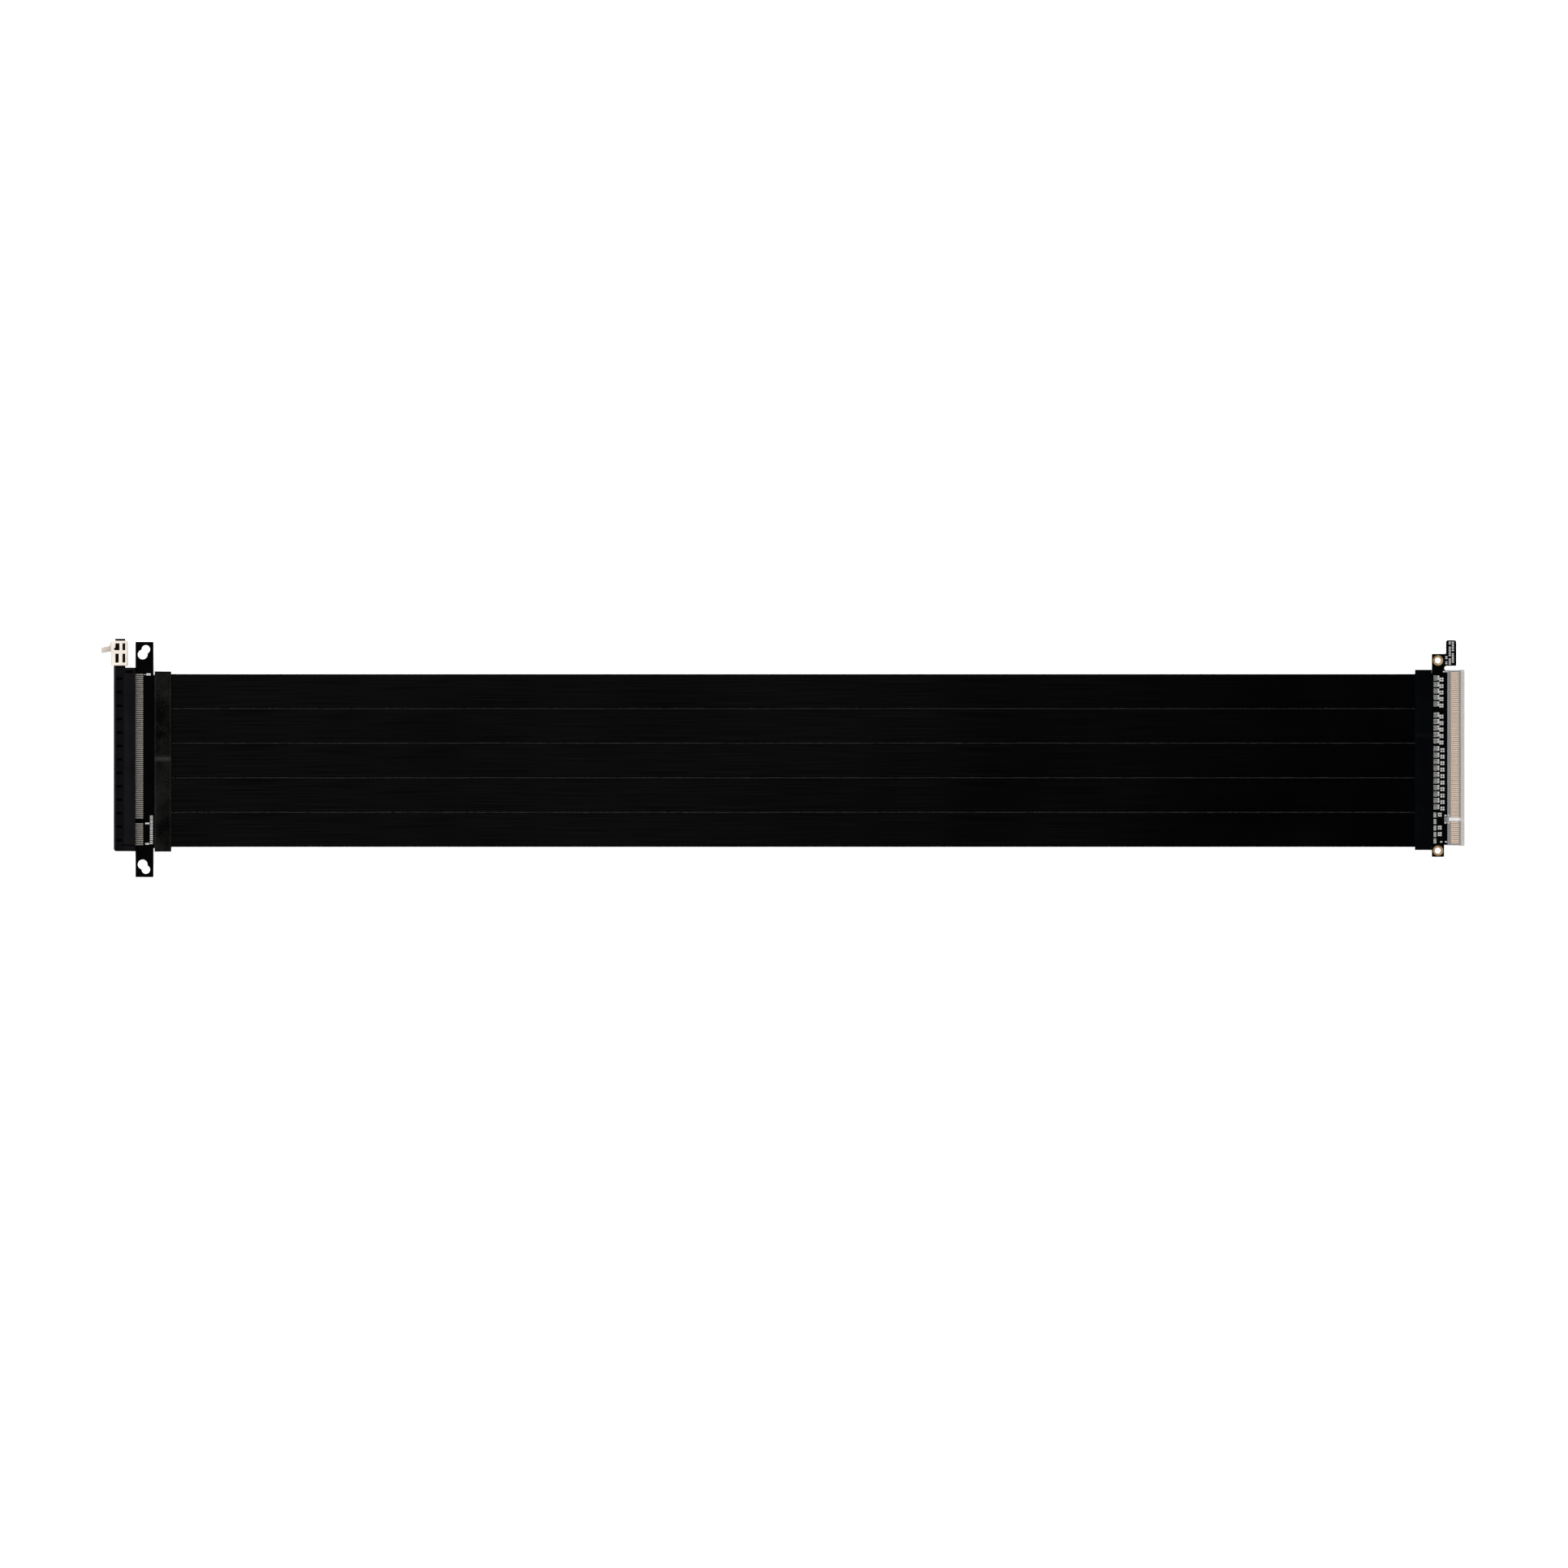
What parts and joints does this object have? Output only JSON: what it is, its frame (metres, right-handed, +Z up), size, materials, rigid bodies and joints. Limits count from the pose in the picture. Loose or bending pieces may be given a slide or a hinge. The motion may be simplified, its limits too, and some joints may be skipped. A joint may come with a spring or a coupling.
{
  "type": "gpu riser cable",
  "caption": "Flat riser cable for a graphics card: a slot connector with a latch on one small board, side-by-side flat ribbons, and a card-edge plug under a clear cover.",
  "frame": {"origin": "centre of the part's footprint, on the surface that it lies on", "axes": "+X along the cable from the slot to the plug, +Y across it towards the latch, +Z up"},
  "size_m": [0.6666, 0.1164, 0.0076],
  "materials": {
    "moulded_housing": "moulded black glass-filled nylon, satin",
    "latch_plastic": "moulded ivory nylon, satin",
    "solder_mask": "black solder mask on glass-epoxy board",
    "resin": "black potting resin",
    "cloth_tape": "black woven cloth tape, slightly fuzzy",
    "ribbon_jacket": "black film jacket over flat shielded pairs, satin with fine ribs",
    "plating": "gold-coloured plating",
    "clear_plastic": "clear soft plastic cover, slightly milky"
  },
  "bodies": {
    "cable_assembly": {"slot_housing": "moulded_housing", "slot_board": "solder_mask", "slot_end_potting": "resin", "slot_end_wrap": "cloth_tape", "ribbon_1": "ribbon_jacket", "ribbon_2": "ribbon_jacket", "ribbon_3": "ribbon_jacket", "ribbon_4": "ribbon_jacket", "ribbon_5": "ribbon_jacket", "plug_end_wrap": "cloth_tape", "plug_end_potting": "resin", "plug_board": "solder_mask", "plated_hole_upper": "plating", "plated_hole_lower": "plating"},
    "latch": {"retention_latch": "latch_plastic"},
    "cover": {"finger_cover": "clear_plastic"}
  },
  "joints": [
    {"name": "latch_hinge", "type": "hinge", "parent": "cable_assembly", "child": "latch", "pos_m": [-0.32348, 0.05645, 0.0038], "axis": [0, 0, -1], "range_deg": [0, 30]},
    {"name": "cover_slide", "type": "slide", "parent": "cable_assembly", "child": "cover", "axis": [1, 0, 0], "range_m": [0, 0.012]}
  ]
}
